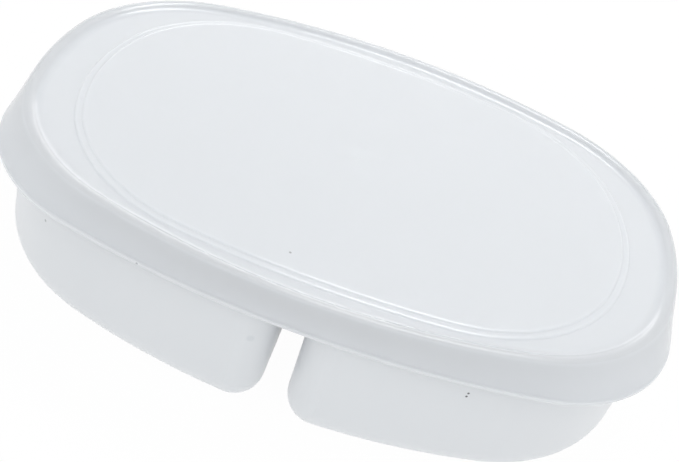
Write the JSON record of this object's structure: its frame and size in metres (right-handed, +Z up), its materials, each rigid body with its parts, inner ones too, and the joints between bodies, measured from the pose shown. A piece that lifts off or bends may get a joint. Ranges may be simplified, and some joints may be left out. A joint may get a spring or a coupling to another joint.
{
  "type": "divided food storage container",
  "caption": "Oval translucent food container with cups side by side under one rim, an open channel between them, and a press-on lid with a raised rim and a stepped panel.",
  "frame": {"origin": "middle of the footprint, on the surface that the cups stand on", "axes": "+X along the length, from cup to cup; +Y across the width; +Z up, the way the lid comes off"},
  "size_m": [0.1884, 0.1336, 0.0443],
  "materials": {
    "lid_plastic": "satin, milky translucent polypropylene",
    "base_plastic": "satin, milky translucent polypropylene"
  },
  "bodies": {
    "base": {"base": "base_plastic"},
    "lid": {"lid": "lid_plastic"}
  },
  "joints": [
    {"name": "lid_lift", "type": "slide", "parent": "base", "child": "lid", "axis": [0, 0, 1], "range_m": [0, 0.06]}
  ]
}
